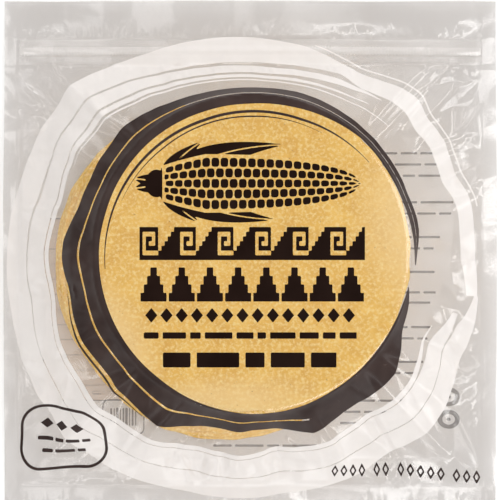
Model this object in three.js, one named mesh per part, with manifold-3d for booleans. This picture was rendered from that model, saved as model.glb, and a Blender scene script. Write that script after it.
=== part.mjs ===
// A stack of round corn tortillas sealed in a flat press-seal bag of clear film, lying on its back.
// Millimetres. +X is to the right and +Y towards the press seal, as the bag is seen from above.
// +Z is up. The origin is under the middle of the bag, on the surface that it lies on.
// Front film, contents and back film are one closed body: what shows of the bag is its outside.
import * as THREE from 'three';
import { mergeVertices } from 'three/addons/utils/BufferGeometryUtils.js';
import Module from 'manifold-3d';

// The bag, laid flat
const BAG_WIDTH = 240;
const BAG_LENGTH = 246.5;
const SIDE_SEAL = 6.5;
const BOTTOM_SEAL = 10;
const HEADER = 19; // the open strip beyond the press seal
const SEAL_THICKNESS = 1; // both films and the air that they trap
const RIM_THICKNESS = 1.3; // the same, just inside the seals

// The stack: tortillas of one size that lean a little. The lowest lies nearer to the lower left
// corner than the top one, and those between them push the film out to the left.
const TORTILLA_RADIUS = 75;
const TORTILLA_THICKNESS = 1.9;
const TORTILLAS = 24;
const STACK_HEIGHT = TORTILLA_THICKNESS * TORTILLAS;
const TOP_CENTRE = new THREE.Vector2(1, 0);
const BASE_CENTRE = new THREE.Vector2(-12, -14);
const BASE_RADIUS = 77; // the lowest tortillas are a little wider than the top one
const RIM_ROUND = 2.6; // the film turns over the edge of the top tortilla
const RIM_DROP = 1.4;

// How high the front film stands: at its foot, where the tent round the stack meets the margin,
// and along the seals. Each side has a height at its middle, and all of them one at the corners.
const FOOT = { left: 21, right: 18.5, top: 13, bottom: 17.5, corner: 7 };
const SEAM = { left: 9.5, right: 9.5, top: 10, bottom: 7.5, corner: 4.4 };
const EDGE = { left: 8, right: 8, top: 5, bottom: 5.5, corner: 2.6 };
const FOOT_INSET_SIDE = 22; // from the bag's edge to the foot of the tent
const FOOT_INSET_BOTTOM = 24;

// Folds of the front film run out from the stack. The film stands up along a ridge,
// and sinks half way to the next one.
const RIDGE_ANGLES = [12, 30, 47, 68, 90, 109, 127, 150, 180, 206, 242, 266, 289, 322, 345];
const FOLD_AT_SHOULDER = 2;
const FOLD_AT_FOOT = 2.8;
const SHOULDER = 0.45; // of the way from the stack's rim to the foot
const SHOULDER_SAG = 1.5;
const LEAN_ANGLE = 186; // the side that the stack leans to
const LEAN_BULGE = 4.5;
const STEPS_PER_FOLD = 3; // rays between a ridge and the valley beside it
const RAY_GAP = 0.9; // degrees, the least between two rays

// The press seal: two stiff tracks across the bag, with a finger flange above them
const ZIP_TOP = BAG_LENGTH / 2 - HEADER;
const ZIP_PROFILE = [
  // distance down from the top of the flange, height over the film
  [0, 0.1],
  [0.3, 0.45],
  [4.1, 0.45],
  [4.4, 1.3],
  [6.9, 1.3],
  [7.3, 0.25],
  [8, 0.25],
  [8.4, 0.75],
  [11.6, 0.75],
  [12.6, 0.1],
];
const ZIP_DEPTH = ZIP_PROFILE[ZIP_PROFILE.length - 1][0];
const ZIP_ROOT = -0.5; // the tracks are rooted in the film
const ZIP_STATIONS = 24;
const ZIP_END_GAP = 1;

const radians = THREE.MathUtils.degToRad;

// The rectangle that lies a given distance inside each edge of the bag
function insetBox(side, bottom, top) {
  return {
    left: side - BAG_WIDTH / 2,
    right: BAG_WIDTH / 2 - side,
    bottom: bottom - BAG_LENGTH / 2,
    top: BAG_LENGTH / 2 - top,
  };
}

const edgeBox = insetBox(0, 0, 0);
const seamBox = insetBox(SIDE_SEAL, BOTTOM_SEAL, HEADER);
const footBox = insetBox(FOOT_INSET_SIDE, FOOT_INSET_BOTTOM, HEADER + ZIP_DEPTH);

// Where the ray from the stack's top centre at this angle leaves a box
function onBox(box, angle) {
  const along = new THREE.Vector2(Math.cos(angle), Math.sin(angle));
  const reachX = ((along.x > 0 ? box.right : box.left) - TOP_CENTRE.x) / along.x;
  const reachY = ((along.y > 0 ? box.top : box.bottom) - TOP_CENTRE.y) / along.y;
  return along.multiplyScalar(Math.min(Math.abs(reachX), Math.abs(reachY))).add(TOP_CENTRE);
}

function onCircle(centre, radius, angle) {
  return new THREE.Vector2(Math.cos(angle), Math.sin(angle)).multiplyScalar(radius).add(centre);
}

// Height along the sides of a box: highest at the middle of each side
function heightOnBox(box, heights, point) {
  const nearX = Math.min(point.x - box.left, box.right - point.x);
  const nearY = Math.min(point.y - box.bottom, box.top - point.y);
  const upright = nearX < nearY;
  const middle = upright ? (box.top + box.bottom) / 2 : (box.left + box.right) / 2;
  const half = upright ? (box.top - box.bottom) / 2 : (box.right - box.left) / 2;
  const side = upright ? (point.x > 0 ? 'right' : 'left') : (point.y > 0 ? 'top' : 'bottom');
  const swell = Math.cos(((upright ? point.y : point.x) - middle) / half * Math.PI / 2) ** 2;
  return heights.corner + (heights[side] - heights.corner) * swell;
}

// The rays that the film is folded along: ridges, the valleys between them, and the boxes' corners
function makeRays() {
  const rays = [];
  RIDGE_ANGLES.forEach((ridge, i) => {
    const next = i + 1 < RIDGE_ANGLES.length ? RIDGE_ANGLES[i + 1] : RIDGE_ANGLES[0] + 360;
    const steps = 2 * STEPS_PER_FOLD;
    for (let k = 0; k < steps; k += 1) {
      const fold = 2 * Math.abs(k / steps * 2 - 1) - 1; // 1 on a ridge, -1 in a valley
      rays.push({ angle: radians(ridge + (next - ridge) * k / steps), fold });
    }
  });
  const corners = [];
  for (const box of [edgeBox, seamBox, footBox]) {
    for (const x of [box.left, box.right]) {
      for (const y of [box.bottom, box.top]) {
        const turn = Math.atan2(y - TOP_CENTRE.y, x - TOP_CENTRE.x);
        corners.push({ angle: (turn + 2 * Math.PI) % (2 * Math.PI), fold: 0 });
      }
    }
  }
  const apart = radians(RAY_GAP);
  const kept = rays.filter((ray) => corners.every((corner) => {
    const gap = Math.abs((ray.angle % (2 * Math.PI)) - corner.angle);
    return Math.min(gap, 2 * Math.PI - gap) > apart;
  }));
  return [...kept, ...corners]
    .map((ray) => ({ ...ray, angle: ray.angle % (2 * Math.PI) }))
    .sort((a, b) => a.angle - b.angle);
}

const rays = makeRays();

// Folds die out towards the press seal, which keeps its side of the tent straight
function foldHeight(ray, depth) {
  const towardsZip = Math.max(0, Math.sin(ray.angle)) ** 2;
  return depth * ray.fold * (1 - towardsZip);
}

function at(point, z) {
  return new THREE.Vector3(point.x, point.y, z);
}

// How far the leaning stack pushes the film out
function leanHeight(ray) {
  return LEAN_BULGE * Math.max(0, Math.cos(ray.angle - radians(LEAN_ANGLE))) ** 2;
}

// Rings of points, from the middle of the front film out to the bag's edge
function frontRings() {
  const flat = [0.5, 0.8].map((part) => rays.map((ray) =>
    at(onCircle(TOP_CENTRE, TORTILLA_RADIUS * part, ray.angle), STACK_HEIGHT)));
  const turn = rays.map((ray) =>
    at(onCircle(TOP_CENTRE, TORTILLA_RADIUS - RIM_ROUND, ray.angle), STACK_HEIGHT));
  const rim = rays.map((ray) =>
    at(onCircle(TOP_CENTRE, TORTILLA_RADIUS + 0.4, ray.angle), STACK_HEIGHT - RIM_DROP));
  const foot = rays.map((ray) => {
    const point = onBox(footBox, ray.angle);
    return at(point, heightOnBox(footBox, FOOT, point) + foldHeight(ray, FOLD_AT_FOOT));
  });
  const shoulder = rays.map((ray, i) => {
    const point = rim[i].clone().lerp(foot[i], SHOULDER);
    point.z += foldHeight(ray, FOLD_AT_SHOULDER) - SHOULDER_SAG + leanHeight(ray);
    return point;
  });
  const seam = rays.map((ray) => {
    const point = onBox(seamBox, ray.angle);
    return at(point, heightOnBox(seamBox, SEAM, point));
  });
  const edge = rays.map((ray) => {
    const point = onBox(edgeBox, ray.angle);
    return at(point, heightOnBox(edgeBox, EDGE, point));
  });
  return [...flat, turn, rim, shoulder, foot, seam, edge];
}

// Rings of points, from the bag's edge in to the middle of the flat spot that it lies on
function backRings(seam, edge) {
  const below = (ring, thickness) => ring.map((p) => new THREE.Vector3(p.x, p.y, p.z - thickness));
  const edgeBack = below(edge, SEAL_THICKNESS);
  const seamBack = below(seam, RIM_THICKNESS);
  const spot = (part) => seam.map((p) => {
    const angle = Math.atan2(p.y - BASE_CENTRE.y, p.x - BASE_CENTRE.x);
    return at(onCircle(BASE_CENTRE, BASE_RADIUS * part, angle), 0);
  });
  const outer = spot(1);
  const lift = 0.4; // the film rises slowly at first, and then faster
  const between = seamBack.map((p, i) => {
    const point = outer[i].clone().lerp(p, 0.5);
    point.z = p.z * lift;
    return point;
  });
  return [edgeBack, seamBack, between, outer, spot(0.5)];
}

// One closed mesh from the rings and a point at either end
function skin(rings, first, last) {
  const count = rays.length;
  const positions = [...first.toArray()];
  rings.forEach((ring) => ring.forEach((p) => positions.push(p.x, p.y, p.z)));
  positions.push(...last.toArray());
  const start = (ring) => 1 + ring * count;
  const end = 1 + rings.length * count;
  const faces = [];
  for (let i = 0; i < count; i += 1) {
    const next = (i + 1) % count;
    faces.push(0, start(0) + i, start(0) + next);
    for (let ring = 0; ring + 1 < rings.length; ring += 1) {
      const a = start(ring) + i;
      const b = start(ring) + next;
      const c = start(ring + 1) + i;
      const d = start(ring + 1) + next;
      if ((i + ring) % 2) faces.push(a, c, d, a, d, b);
      else faces.push(a, c, b, b, c, d);
    }
    faces.push(end, start(rings.length - 1) + next, start(rings.length - 1) + i);
  }
  const geometry = new THREE.BufferGeometry();
  geometry.setAttribute('position', new THREE.Float32BufferAttribute(positions, 3));
  geometry.setIndex(faces);
  return geometry;
}

// Height of the film along the lower track: the foot of the tent, and down from its corner
function lowTrackHeight(x) {
  const onFoot = THREE.MathUtils.clamp(x, footBox.left, footBox.right);
  const past = Math.abs(x - onFoot) / (seamBox.right - footBox.right);
  const foot = heightOnBox(footBox, FOOT, new THREE.Vector2(onFoot, footBox.top));
  return foot + (SEAM.corner - foot) * past;
}

// The press seal's tracks follow the front film from one side seal to the other
function zipGeometry() {
  const reach = seamBox.right - ZIP_END_GAP;
  const outline = [...ZIP_PROFILE];
  outline.push([ZIP_DEPTH, ZIP_ROOT], [0, ZIP_ROOT]);
  const count = outline.length;
  const positions = [];
  for (let s = 0; s <= ZIP_STATIONS; s += 1) {
    const x = -reach + 2 * reach * s / ZIP_STATIONS;
    const high = heightOnBox(seamBox, SEAM, new THREE.Vector2(x, seamBox.top));
    const low = lowTrackHeight(x);
    for (const [down, up] of outline) {
      positions.push(x, ZIP_TOP - down, high + (low - high) * down / ZIP_DEPTH + up);
    }
  }
  const faces = [];
  for (let s = 0; s < ZIP_STATIONS; s += 1) {
    for (let k = 0; k < count; k += 1) {
      const a = s * count + k;
      const b = s * count + (k + 1) % count;
      faces.push(a, b, a + count, b, b + count, a + count);
    }
  }
  const cap = THREE.ShapeUtils.triangulateShape(outline.map(([y, z]) => new THREE.Vector2(y, z)), []);
  const far = ZIP_STATIONS * count;
  cap.forEach(([a, b, c]) => faces.push(a, b, c, far + a, far + c, far + b));
  const geometry = new THREE.BufferGeometry();
  geometry.setAttribute('position', new THREE.Float32BufferAttribute(positions, 3));
  geometry.setIndex(faces);
  return geometry;
}

const wasm = await Module();
wasm.setup();

function toManifold(geometry) {
  const merged = mergeVertices(geometry, 1e-4);
  return new wasm.Manifold(new wasm.Mesh({
    numProp: 3,
    vertProperties: new Float32Array(merged.attributes.position.array),
    triVerts: new Uint32Array(merged.index.array),
  }));
}

function toGeometry(manifold) {
  const mesh = manifold.getMesh();
  const geometry = new THREE.BufferGeometry();
  geometry.setAttribute('position', new THREE.BufferAttribute(mesh.vertProperties, 3));
  geometry.setIndex(new THREE.BufferAttribute(mesh.triVerts, 1));
  geometry.computeVertexNormals();
  return geometry;
}

const front = frontRings();
const back = backRings(front[front.length - 2], front[front.length - 1]);
const body = skin([...front, ...back], at(TOP_CENTRE, STACK_HEIGHT), at(BASE_CENTRE, 0));
const bag = toManifold(body).add(toManifold(zipGeometry()));

const film = new THREE.MeshStandardMaterial({ color: 0xe4d9c6, roughness: 0.25, metalness: 0 });
const tortillaBag = new THREE.Mesh(toGeometry(bag), film);
tortillaBag.name = 'tortilla_bag';

const group = new THREE.Group();
group.add(tortillaBag);

export default group;
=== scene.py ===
"""A stack of corn tortillas sealed in a clear press-seal bag that lies flat, seen from above.

Millimetres in the making, metres in Blender. The bag's film is worked out from the CAD solid:
its top is the front film and its underside the back film. Folds and crinkles are added to both,
and the print, the seals and the press seal follow them.
"""
import collections
import math

import bpy
import numpy as np
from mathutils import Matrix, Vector
from mathutils.bvhtree import BVHTree


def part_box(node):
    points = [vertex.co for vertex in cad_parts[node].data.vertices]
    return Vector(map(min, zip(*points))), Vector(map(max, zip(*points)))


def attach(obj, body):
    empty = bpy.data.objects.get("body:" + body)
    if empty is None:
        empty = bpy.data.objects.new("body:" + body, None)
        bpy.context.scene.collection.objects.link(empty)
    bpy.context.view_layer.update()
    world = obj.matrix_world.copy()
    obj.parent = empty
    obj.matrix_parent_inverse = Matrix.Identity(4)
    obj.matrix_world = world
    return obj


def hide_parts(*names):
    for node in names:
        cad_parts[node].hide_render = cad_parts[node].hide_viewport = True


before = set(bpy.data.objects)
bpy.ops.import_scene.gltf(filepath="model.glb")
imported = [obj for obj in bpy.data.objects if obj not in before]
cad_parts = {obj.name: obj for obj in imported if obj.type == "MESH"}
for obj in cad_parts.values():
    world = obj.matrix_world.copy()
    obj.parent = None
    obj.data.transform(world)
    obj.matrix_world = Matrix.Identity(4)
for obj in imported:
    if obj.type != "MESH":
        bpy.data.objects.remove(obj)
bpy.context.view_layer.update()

MM = 0.001
BODY = "root"
BAG = "tortilla_bag"

# The bag, as the CAD has it
low_corner, high_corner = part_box(BAG)
HALF_X = high_corner.x / MM
HALF_Y = high_corner.y / MM
STACK_TOP = high_corner.z / MM
SIDE_SEAL = 6.5
BOTTOM_SEAL = 10.0
ZIP_TOP = HALF_Y - 19.0
ZIP_DEPTH = 12.6
ZIP_REACH = HALF_X - SIDE_SEAL - 1.0

# The stack
TORTILLAS = 24
TORTILLA_RADIUS = 75.0
TOP_CENTRE = (1.0, 0.0)
TOP_GAP = 0.55  # under the film
FLOOR_GAP = 0.4
LEAN = [  # share of the stack's height, then where a tortilla's middle lies there
    (0.00, -12.0, -14.6),
    (0.12, -12.5, -15.0),
    (0.22, -15.5, -9.0),
    (0.32, -18.2, -4.3),
    (0.50, -17.5, -4.0),
    (0.75, -8.0, -2.0),
    (0.90, -0.5, -0.3),
    (1.00, *TOP_CENTRE),
]

# The film
STEP = 0.8  # of the grid that the film is made on
FILM_GAP = 0.12  # between the two films where they lie on each other
STACK_GAP = 0.6  # of the film off the tortillas, before it is smoothed
LEAST_STACK_GAP = 0.3
INK_GAP = 0.16  # of the print over the film
DARK_INK_GAP = 0.32  # of the dark print, which crosses the white
FILM_HAZE = 0.3  # the share of what the film throws back that it scatters
FILM_CRINKLE = 0.12
FILM_ROUGHNESS = 0.15


# Small tools

def smooth(field, sigma):
    """A field of heights blurred by a Gaussian, sigma in grid steps."""
    reach = int(math.ceil(3 * sigma))
    kernel = np.exp(-0.5 * (np.arange(-reach, reach + 1) / sigma) ** 2)
    kernel /= kernel.sum()
    out = field
    for axis in (0, 1):
        padded = np.pad(out, [(reach, reach) if a == axis else (0, 0) for a in (0, 1)], mode="edge")
        total = np.zeros_like(out)
        for i, weight in enumerate(kernel):
            part = [slice(None), slice(None)]
            part[axis] = slice(i, i + out.shape[axis])
            total += weight * padded[tuple(part)]
        out = total
    return out


def ease(values, start, end):
    """0 before start, 1 after end and a smooth step between them."""
    part = np.clip((values - start) / (end - start), 0, 1)
    return part * part * (3 - 2 * part)


def turned(x, y, base_x, base_y, turn):
    """Coordinates along and across a line from a base point."""
    dx = x - base_x
    dy = y - base_y
    return dx * math.cos(turn) + dy * math.sin(turn), dy * math.cos(turn) - dx * math.sin(turn)


def grid_faces(rows, columns):
    """Quads between the points of a grid that is listed row by row."""
    index = np.arange(rows * columns).reshape(rows, columns)
    corners = [index[:-1, :-1], index[:-1, 1:], index[1:, 1:], index[1:, :-1]]
    return np.column_stack([corner.ravel() for corner in corners]).tolist()


def make_object(name, vertices, faces, material, smooth_shaded=True):
    """A mesh object from millimetres."""
    mesh = bpy.data.meshes.new(name)
    mesh.from_pydata(np.asarray(vertices, float) * MM, [], faces)
    mesh.validate()
    if smooth_shaded:
        mesh.shade_smooth()
    mesh.materials.append(material)
    obj = bpy.data.objects.new(name, mesh)
    bpy.context.scene.collection.objects.link(obj)
    return obj


def keep(obj):
    """Says that obj is part of the bag and shown in place of its solid."""
    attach(obj, BODY)
    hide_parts(BAG)


# Materials

def new_material(name):
    material = bpy.data.materials.new(name)
    material.use_nodes = True
    tree = material.node_tree
    tree.nodes.clear()
    output = tree.nodes.new("ShaderNodeOutputMaterial")
    return material, tree, output


def add_node(tree, kind, inputs=None, **settings):
    node = tree.nodes.new(kind)
    for key, value in settings.items():
        setattr(node, key, value)
    for key, value in (inputs or {}).items():
        if isinstance(value, bpy.types.NodeSocket):
            tree.links.new(value, node.inputs[key])
        else:
            node.inputs[key].default_value = value
    return node


def noise(tree, scale, detail, roughness):
    place = add_node(tree, "ShaderNodeTexCoord")
    node = add_node(tree, "ShaderNodeTexNoise", {
        "Vector": place.outputs["Object"], "Scale": scale, "Detail": detail, "Roughness": roughness})
    return node.outputs["Fac"]


def ramp(tree, value, stops):
    node = add_node(tree, "ShaderNodeValToRGB", {"Fac": value})
    elements = node.color_ramp.elements
    while len(elements) < len(stops):
        elements.new(0.5)
    for element, (place, colour) in zip(elements, stops):
        element.position = place
        element.color = (*colour, 1)
    return node.outputs["Color"]


def grey(value):
    return (value, value, value)


def cover_range(tree, value, least, most):
    """A noise's middle range spread over the shares from least to most."""
    node = add_node(tree, "ShaderNodeMapRange", {
        "Value": value, "From Min": 0.3, "From Max": 0.7, "To Min": least, "To Max": most})
    return node.outputs["Result"]


def colour_mix(tree, share, first, second):
    node = add_node(tree, "ShaderNodeMix", {0: share, 6: first, 7: (*second, 1)}, data_type="RGBA")
    return node.outputs[2]


def show_over(tree, output, cover, solid):
    """Shows a shader over what lies behind it, by the share cover."""
    clear = add_node(tree, "ShaderNodeBsdfTransparent")
    mix = add_node(tree, "ShaderNodeMixShader", {0: cover, 1: clear.outputs[0], 2: solid.outputs[0]})
    tree.links.new(mix.outputs[0], output.inputs["Surface"])


def film_material(name, tint, gloss):
    """Clear film: most light passes, and a little is mirrored or scattered, more so at a slant."""
    material, tree, output = new_material(name)
    fine = noise(tree, 420.0, 3.0, 0.6)
    bump = add_node(tree, "ShaderNodeBump", {
        "Height": fine, "Strength": FILM_CRINKLE, "Distance": 0.0004})
    facing = add_node(tree, "ShaderNodeLayerWeight", {"Blend": 0.5})
    slant = add_node(tree, "ShaderNodeMath", {0: facing.outputs["Facing"], 1: 4.0}, operation="POWER")
    share = add_node(tree, "ShaderNodeMath", {0: slant.outputs[0], 1: 0.7, 2: gloss},
                     operation="MULTIPLY_ADD", use_clamp=True)
    clear = add_node(tree, "ShaderNodeBsdfTransparent", {"Color": (*tint, 1)})
    mirror = add_node(tree, "ShaderNodeBsdfGlossy", {
        "Color": (1, 1, 1, 1), "Roughness": FILM_ROUGHNESS, "Normal": bump.outputs["Normal"]})
    milk = add_node(tree, "ShaderNodeBsdfDiffuse", {
        "Color": (0.93, 0.91, 0.89, 1), "Normal": bump.outputs["Normal"]})
    surface = add_node(tree, "ShaderNodeMixShader", {
        0: FILM_HAZE, 1: mirror.outputs[0], 2: milk.outputs[0]})
    mix = add_node(tree, "ShaderNodeMixShader", {
        0: share.outputs[0], 1: clear.outputs[0], 2: surface.outputs[0]})
    tree.links.new(mix.outputs[0], output.inputs["Surface"])
    return material


def white_ink_material():
    """White ink that lets a little of what is behind it show."""
    material, tree, output = new_material("white_ink")
    cover = cover_range(tree, noise(tree, 60.0, 4.0, 0.6), 0.84, 0.92)
    ink = add_node(tree, "ShaderNodeBsdfPrincipled", {
        "Base Color": (0.74, 0.70, 0.672, 1), "Roughness": 0.28, "Specular IOR Level": 0.8})
    show_over(tree, output, cover, ink)
    return material


def dark_ink_material(name, darker, lighter, gloss):
    material, tree, output = new_material(name)
    patchy = noise(tree, 45.0, 3.0, 0.6)
    colour = ramp(tree, patchy, [(0.35, darker), (0.7, lighter)])
    ink = add_node(tree, "ShaderNodeBsdfPrincipled", {
        "Base Color": colour, "Roughness": 0.3, "Specular IOR Level": gloss})
    tree.links.new(ink.outputs[0], output.inputs["Surface"])
    return material


def back_ink_material(name, darker, lighter, cover):
    """Print on the back film, seen through both films."""
    material, tree, output = new_material(name)
    patchy = noise(tree, 60.0, 3.0, 0.6)
    colour = ramp(tree, patchy, [(0.35, darker), (0.7, lighter)])
    ink = add_node(tree, "ShaderNodeBsdfPrincipled", {"Base Color": colour, "Roughness": 0.5})
    show_over(tree, output, cover, ink)
    return material


def soft_spot(tree, middle, reach, turn):
    """1 in the middle of an oval spot in the plane, and 0 from its edge on."""
    place = add_node(tree, "ShaderNodeTexCoord")
    mapping = add_node(tree, "ShaderNodeMapping", {
        "Vector": place.outputs["Object"], "Location": (middle[0] * MM, middle[1] * MM, 0.0),
        "Rotation": (0.0, 0.0, turn), "Scale": (reach[0] * MM, reach[1] * MM, 1.0)},
        vector_type="TEXTURE")
    spot = add_node(tree, "ShaderNodeTexGradient", {"Vector": mapping.outputs[0]},
                    gradient_type="SPHERICAL")
    return spot.outputs["Fac"]


def tortilla_material(name, sheen_spots=()):
    """Golden masa: fine pale grain, faint toasted clouds and a few dark specks, and any pale patches of
    painted sheen, where the film's reflection lightens the top tortilla.
    """
    material, tree, output = new_material(name)
    clouds = noise(tree, 90.0, 4.0, 0.65)
    grain = noise(tree, 620.0, 3.0, 0.6)
    specks = noise(tree, 900.0, 1.0, 0.5)
    base = ramp(tree, clouds, [
        (0.30, (0.74, 0.405, 0.045)), (0.50, (0.83, 0.49, 0.068)), (0.70, (0.92, 0.585, 0.115))])
    pale = ramp(tree, grain, [(0.46, grey(0.0)), (0.70, grey(1.0))])
    colour = colour_mix(tree, pale, base, (0.96, 0.735, 0.28))
    # Painted sheen: pale patches that stand in for the film's reflection over the tortilla.
    for middle, reach, turn in sheen_spots:
        spot = soft_spot(tree, middle, reach, turn)
        share = add_node(tree, "ShaderNodeMapRange", {
            "Value": spot, "From Min": 0.0, "From Max": 0.6, "To Max": 0.6})
        colour = colour_mix(tree, share.outputs["Result"], colour, (0.95, 0.70, 0.32))
    dark = ramp(tree, specks, [(0.74, grey(0.0)), (0.8, grey(0.55))])
    specked = colour_mix(tree, dark, colour, (0.24, 0.12, 0.04))
    bump = add_node(tree, "ShaderNodeBump", {"Height": grain, "Strength": 0.5, "Distance": 0.0006})
    crumb = add_node(tree, "ShaderNodeBsdfPrincipled", {
        "Base Color": specked, "Roughness": 0.85, "Normal": bump.outputs["Normal"],
        "Specular IOR Level": 0.2})
    tree.links.new(crumb.outputs[0], output.inputs["Surface"])
    return material


def milky_material(name, least, most):
    """The stiffer, milky plastic of the press seal's tracks, with its least and most cover."""
    material, tree, output = new_material(name)
    cover = cover_range(tree, noise(tree, 250.0, 2.0, 0.5), least, most)
    body = add_node(tree, "ShaderNodeBsdfPrincipled", {
        "Base Color": (0.95, 0.93, 0.91, 1), "Roughness": 0.3, "Specular IOR Level": 0.5})
    show_over(tree, output, cover, body)
    return material


# The film's form

def grid_place(values, line):
    """Where values lie between the evenly spaced places of a line, in steps, and not past its end."""
    steps = (np.asarray(values, float) - line[0]) / (line[1] - line[0])
    return np.clip(steps, 0, len(line) - 1.001)


class Film:
    """The heights of the front and back film on a grid, in millimetres."""

    def __init__(self):
        self.xs = np.linspace(-HALF_X, HALF_X, int(round(2 * HALF_X / STEP)) + 1)
        self.ys = np.linspace(-HALF_Y, HALF_Y, int(round(2 * HALF_Y / STEP)) + 1)
        self.x, self.y = np.meshgrid(self.xs, self.ys)
        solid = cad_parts[BAG].data
        corners = [vertex.co.copy() for vertex in solid.vertices]
        self.tree = BVHTree.FromPolygons(corners, [list(face.vertices) for face in solid.polygons])
        self.front = self.cast(from_above=True)
        self.back = self.cast(from_above=False)

    def cast(self, from_above):
        """The solid's top or underside at each grid point."""
        start = 0.1 if from_above else -0.1
        way = Vector((0, 0, -1 if from_above else 1))
        inside = 0.02 * MM
        xs = np.clip(self.xs * MM, low_corner.x + inside, high_corner.x - inside)
        ys = np.clip(self.ys * MM, low_corner.y + inside, high_corner.y - inside)
        heights = [self.tree.ray_cast(Vector((x, y, start)), way)[0].z for y in ys for x in xs]
        return np.array(heights).reshape(self.x.shape) / MM

    def sample(self, field, x, y):
        """A field's value at any place, between grid points."""
        u = grid_place(x, self.xs)
        v = grid_place(y, self.ys)
        i = u.astype(int)
        j = v.astype(int)
        fu = u - i
        fv = v - j
        lower = field[j, i] * (1 - fu) + field[j, i + 1] * fu
        upper = field[j + 1, i] * (1 - fu) + field[j + 1, i + 1] * fu
        return lower * (1 - fv) + upper * fv


def add_kite(film, field, x, y, turn, length, width, height, peak, skew):
    """A fold with four flat sides: a kite in plan, highest at the share peak of its length."""
    reach = max(length, width) * 0.75
    columns = np.nonzero(np.abs(film.xs - x) < reach)[0]
    rows = np.nonzero(np.abs(film.ys - y) < reach)[0]
    if not len(columns) or not len(rows):
        return
    part = np.ix_(rows, columns)
    along, across = turned(film.x[part], film.y[part], x, y, turn)
    t = along / length + 0.5 - peak
    s = np.where(t < 0, -t / peak, t / (1 - peak))
    across = across - skew * width * 0.5
    near = width * (0.5 + 0.5 * skew)
    far = width * (0.5 - 0.5 * skew)
    d = np.where(across < 0, -across / near, across / far)
    field[part] += height * np.clip(1 - s - d, 0, 1)


def zip_relief(film):
    """What the press seal's tracks raise the front film by."""
    down = [-1.0, 0.0, 0.4, 4.0, 4.5, 6.8, 7.4, 8.0, 8.5, 11.5, 12.6, 13.4]
    up = [0.0, 0.02, 0.08, 0.08, 0.2, 0.2, 0.05, 0.05, 0.12, 0.12, 0.03, 0.0]
    ends = ease(ZIP_REACH - np.abs(film.x), -0.5, 1.0)
    return np.interp(ZIP_TOP - film.y, down, up) * ends


def level_zip(film):
    """The front film without the CAD's own tracks, straight between the lines above and below them."""
    ends = (ZIP_TOP + 0.6, ZIP_TOP - ZIP_DEPTH - 0.6)
    upper, lower = [film.sample(film.front, film.xs, np.full_like(film.xs, y)) for y in ends]
    part = np.clip((ends[0] - film.y) / (ends[0] - ends[1]), 0, 1)
    bridged = upper * (1 - part) + lower * part
    return np.where((film.y < ends[0]) & (film.y > ends[1]), bridged, film.front)


def add_fold(film, field, start, end, width, height, peak, skew):
    """A kite from one end point to the other."""
    dx = end[0] - start[0]
    dy = end[1] - start[1]
    add_kite(film, field, (start[0] + end[0]) / 2, (start[1] + end[1]) / 2, math.atan2(dy, dx),
             math.hypot(dx, dy), width, height, peak, skew)


# The folds that stand out: two end points, width, height, where the highest point lies, skew
MAIN_FOLDS = [
    ((-122, 70.4), (-92, 70.8), 6.5, 1.9, 0.25, 0.1), ((-114, 86.5), (-92, 70.5), 8, 1.5, 0.4, -0.5),
    ((-114, 86.5), (-78, 78), 7, 1.3, 0.35, 0.4), ((-114, 86), (-96, 60), 8, 1.2, 0.4, 0.3),
    ((-121, 89), (-106, 84), 7, 1.1, 0.5, 0.0), ((-93, 71), (-113, 55), 10, 1.3, 0.5, 0.5),
    ((-122, 58), (-106, 60), 8, 1.3, 0.3, 0.2), ((-113, 52), (-105, 38), 7, 0.99, 0.5, 0.5),
    ((-121, 47), (-108, 44), 12, -0.81, 0.5, 0.3), ((-119, 30), (-108, 10), 6, 0.74, 0.5, -0.4),
    ((-118, -8), (-114, -46), 6, 0.81, 0.4, 0.4), ((-113, -55), (-104, -82), 9, 0.74, 0.5, 0.3),
    ((111, 86.5), (74, 80), 8, 1.5, 0.3, 0.4), ((111, 86.5), (88, 64), 9, 1.4, 0.4, -0.4),
    ((112, 86), (101, 56), 7, -1.2, 0.35, 0.2), ((108, 66), (110, 50), 6, 1.2, 0.5, 0.5),
    ((106, 57), (84, 49), 9, 1.2, 0.3, 0.2), ((121, 40), (104, 33), 9, 1.2, 0.4, 0.2),
    ((106.5, 6), (107.5, -8), 4, 0.74, 0.5, 0.0), ((90, -9), (99, -26), 9, 0.93, 0.6, 0.5),
    ((93, -24), (103, -52), 8, 0.87, 0.4, -0.4), ((103, -26), (97, -46), 6, 0.87, 0.5, 0.2),
    ((110, -30), (104, -52), 5, 0.74, 0.5, 0.3), ((117, -60), (100, -78), 10, 0.81, 0.5, -0.4),
    ((-84, -96), (-52, -106), 13, 0.93, 0.4, 0.4), ((-70, -88), (-60, -114), 9, 0.81, 0.6, -0.3),
    ((-40, -92), (-28, -112), 10, 0.93, 0.5, 0.4), ((-18, -98), (2, -113), 11, 0.81, 0.5, 0.3),
    ((14, -96), (8, -114), 8, 0.81, 0.4, -0.5), ((34, -94), (52, -112), 11, 0.99, 0.4, 0.4),
    ((60, -88), (96, -100), 12, 0.87, 0.4, -0.4), ((74, -100), (66, -114), 8, 0.74, 0.5, 0.3),
]


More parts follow.
